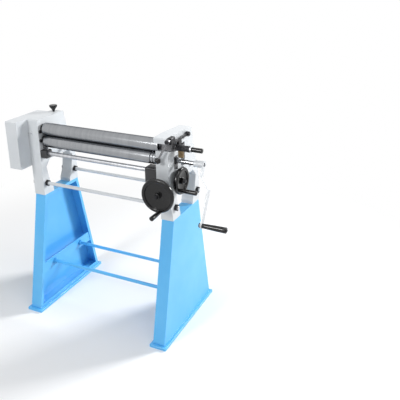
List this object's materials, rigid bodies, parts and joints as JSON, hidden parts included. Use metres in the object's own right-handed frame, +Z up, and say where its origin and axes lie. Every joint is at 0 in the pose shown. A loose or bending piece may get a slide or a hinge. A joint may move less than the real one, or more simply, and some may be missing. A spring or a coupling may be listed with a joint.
{
  "type": "slip roll machine",
  "caption": "Hand-cranked three-roll sheet bending machine on two folded steel stands, with a geared crank, two handwheels and a latched swing-out upper roll.",
  "frame": {"origin": "on the floor, under the middle of the left foot plate", "axes": "+X along the rolls towards the crank, +Y to the rear, +Z up"},
  "size_m": [1.0976, 0.5481, 0.983],
  "materials": {
    "blue": "smooth gloss enamel",
    "grey": "smooth satin enamel",
    "roll_steel": "ground and polished",
    "bright_steel": "turned",
    "chrome": "bright plate",
    "black_oxide": "black oxide",
    "dark_iron": "black enamel on a casting",
    "black_plastic": "gloss phenolic",
    "block_iron": "machined",
    "bronze": "cast bronze"
  },
  "bodies": {
    "machine_frame": {"left_stand": "blue", "right_stand": "blue", "foot_plates": "blue", "left_brace": "blue", "right_brace": "blue", "front_lower_tie_bar": "blue", "rear_lower_tie_bar": "blue", "lower_tie_bar_nuts": "blue", "front_upper_tie_bar": "grey", "rear_upper_tie_bar": "grey", "upper_tie_bar_nuts": "black_oxide", "left_housing": "grey", "right_housing": "grey", "housing_bolts": "black_oxide", "left_face_bolts": "black_oxide", "gear_cover": "grey", "cover_screws": "bright_steel", "left_lift_bracket": "dark_iron", "lift_gearbox": "dark_iron", "spindle_bosses": "bright_steel", "latch_pivot_pin": "black_oxide"},
    "lower_roll_slide": {"left_lower_block": "block_iron", "right_lower_block": "block_iron"},
    "lower_roll_and_crank": {"lower_roll": "roll_steel", "lower_roll_collars": "black_oxide", "lower_roll_gear": "bright_steel", "crank_shaft_collar": "black_oxide", "crank_hub": "grey", "crank_arm": "grey", "crank_grip_pin": "black_oxide"},
    "crank_grip_body": {"crank_grip": "black_plastic"},
    "upper_gear_body": {"upper_roll_gear": "bright_steel", "upper_gear_stub": "bright_steel"},
    "upper_roll_swing_body": {"upper_roll_ball_bushing": "bronze", "upper_roll_end_block": "block_iron", "lift_handle_core": "bright_steel", "lift_handle_ribbed_sleeve": "black_oxide", "lift_handle_grip": "black_plastic", "bronze_lug": "bronze"},
    "upper_roll_body": {"upper_roll": "roll_steel", "upper_roll_collars": "black_oxide"},
    "rear_roll_slide": {"left_rear_block": "block_iron", "right_rear_block": "block_iron", "rear_lift_screws": "bright_steel"},
    "rear_roll_body": {"rear_roll": "roll_steel"},
    "front_wheel_body": {"front_handwheel": "black_plastic", "front_wheel_spindle": "chrome"},
    "front_grip_body": {"front_wheel_grip": "black_plastic"},
    "lift_shaft_body": {"lift_cross_shaft": "bright_steel", "lift_cams": "bright_steel"},
    "side_wheel_body": {"side_handwheel": "black_plastic", "side_wheel_spindle": "chrome"},
    "side_grip_body": {"side_wheel_grip": "black_plastic"},
    "rear_shaft_body": {"rear_cross_shaft": "bright_steel"},
    "lock_lever_body": {"side_lock_lever": "chrome"},
    "latch_bar_body": {"latch_bar": "black_oxide", "latch_head": "black_oxide"},
    "latch_lever_body": {"latch_lever": "chrome", "latch_lever_ball": "black_plastic"},
    "top_knob_body": {"top_knob": "black_plastic"}
  },
  "joints": [
    {"name": "lower_roll_drop", "type": "slide", "parent": "machine_frame", "child": "lower_roll_slide", "axis": [0, 0, 1], "range_m": [-0.006, 0]},
    {"name": "crank_spin", "type": "hinge", "parent": "lower_roll_slide", "child": "lower_roll_and_crank", "pos_m": [0, -0.092, 0.842], "axis": [1, 0, 0], "continuous": true},
    {"name": "crank_grip_spin", "type": "hinge", "parent": "lower_roll_and_crank", "child": "crank_grip_body", "pos_m": [0.896, -0.21215, 0.62963], "axis": [1, 0, 0], "continuous": true},
    {"name": "upper_gear_spin", "type": "hinge", "parent": "machine_frame", "child": "upper_gear_body", "pos_m": [0, -0.092, 0.9005], "axis": [1, 0, 0], "continuous": true},
    {"name": "upper_roll_swing", "type": "hinge", "parent": "machine_frame", "child": "upper_roll_swing_body", "pos_m": [0, -0.092, 0.9005], "axis": [0, -0.225, -0.9744], "range_deg": [0, 4.5]},
    {"name": "upper_roll_spin", "type": "hinge", "parent": "upper_roll_swing_body", "child": "upper_roll_body", "pos_m": [0, -0.092, 0.9005], "axis": [1, 0, 0], "continuous": true},
    {"name": "rear_roll_lift", "type": "slide", "parent": "machine_frame", "child": "rear_roll_slide", "axis": [0, 0, 1], "range_m": [-0.036, 0.01]},
    {"name": "rear_roll_spin", "type": "hinge", "parent": "rear_roll_slide", "child": "rear_roll_body", "pos_m": [0, -0.027, 0.872], "axis": [1, 0, 0], "continuous": true},
    {"name": "front_wheel_spin", "type": "hinge", "parent": "machine_frame", "child": "front_wheel_body", "pos_m": [0.692, -0.16, 0.721], "axis": [0, 1, 0], "range_deg": [-1440, 0]},
    {"name": "front_grip_spin", "type": "hinge", "parent": "front_wheel_body", "child": "front_grip_body", "pos_m": [0.70593, -0.215, 0.65546], "axis": [0, 1, 0], "continuous": true},
    {"name": "lift_shaft_turn", "type": "hinge", "parent": "machine_frame", "child": "lift_shaft_body", "pos_m": [0, -0.109, 0.788], "axis": [1, 0, 0], "range_deg": [-20, 0]},
    {"name": "side_wheel_spin", "type": "hinge", "parent": "machine_frame", "child": "side_wheel_body", "pos_m": [0.721, -0.092, 0.755], "axis": [1, 0, 0], "range_deg": [-2592, 720]},
    {"name": "side_grip_spin", "type": "hinge", "parent": "side_wheel_body", "child": "side_grip_body", "pos_m": [0.755, -0.13791, 0.73059], "axis": [1, 0, 0], "continuous": true},
    {"name": "rear_shaft_turn", "type": "hinge", "parent": "machine_frame", "child": "rear_shaft_body", "pos_m": [0, 0.04, 0.778], "axis": [1, 0, 0], "range_deg": [-1296, 360]},
    {"name": "side_lock_turn", "type": "hinge", "parent": "machine_frame", "child": "lock_lever_body", "pos_m": [0.721, -0.092, 0.755], "axis": [1, 0, 0], "range_deg": [-30, 30]},
    {"name": "latch_bar_lift", "type": "hinge", "parent": "machine_frame", "child": "latch_bar_body", "pos_m": [0.721, 0.004, 0.933], "axis": [-1, 0, 0], "range_deg": [0, 70]},
    {"name": "latch_lever_turn", "type": "hinge", "parent": "latch_bar_body", "child": "latch_lever_body", "pos_m": [0.732, -0.181, 0.952], "axis": [0, 1, 0], "range_deg": [-100, 0]},
    {"name": "top_knob_turn", "type": "hinge", "parent": "machine_frame", "child": "top_knob_body", "pos_m": [0, 0.025, 0.95], "axis": [0, 0, 1], "continuous": true}
  ],
  "couplings": [
    {"joint": "upper_gear_spin", "follows": "crank_spin", "ratio": -1},
    {"joint": "upper_roll_spin", "follows": "crank_spin", "ratio": -1},
    {"joint": "front_wheel_spin", "follows": "lower_roll_drop", "rad_per_m": 4188.8},
    {"joint": "lift_shaft_turn", "follows": "lower_roll_drop", "rad_per_m": 58.178},
    {"joint": "side_wheel_spin", "follows": "rear_roll_lift", "rad_per_m": 1256.6},
    {"joint": "rear_shaft_turn", "follows": "rear_roll_lift", "rad_per_m": 628.32}
  ]
}
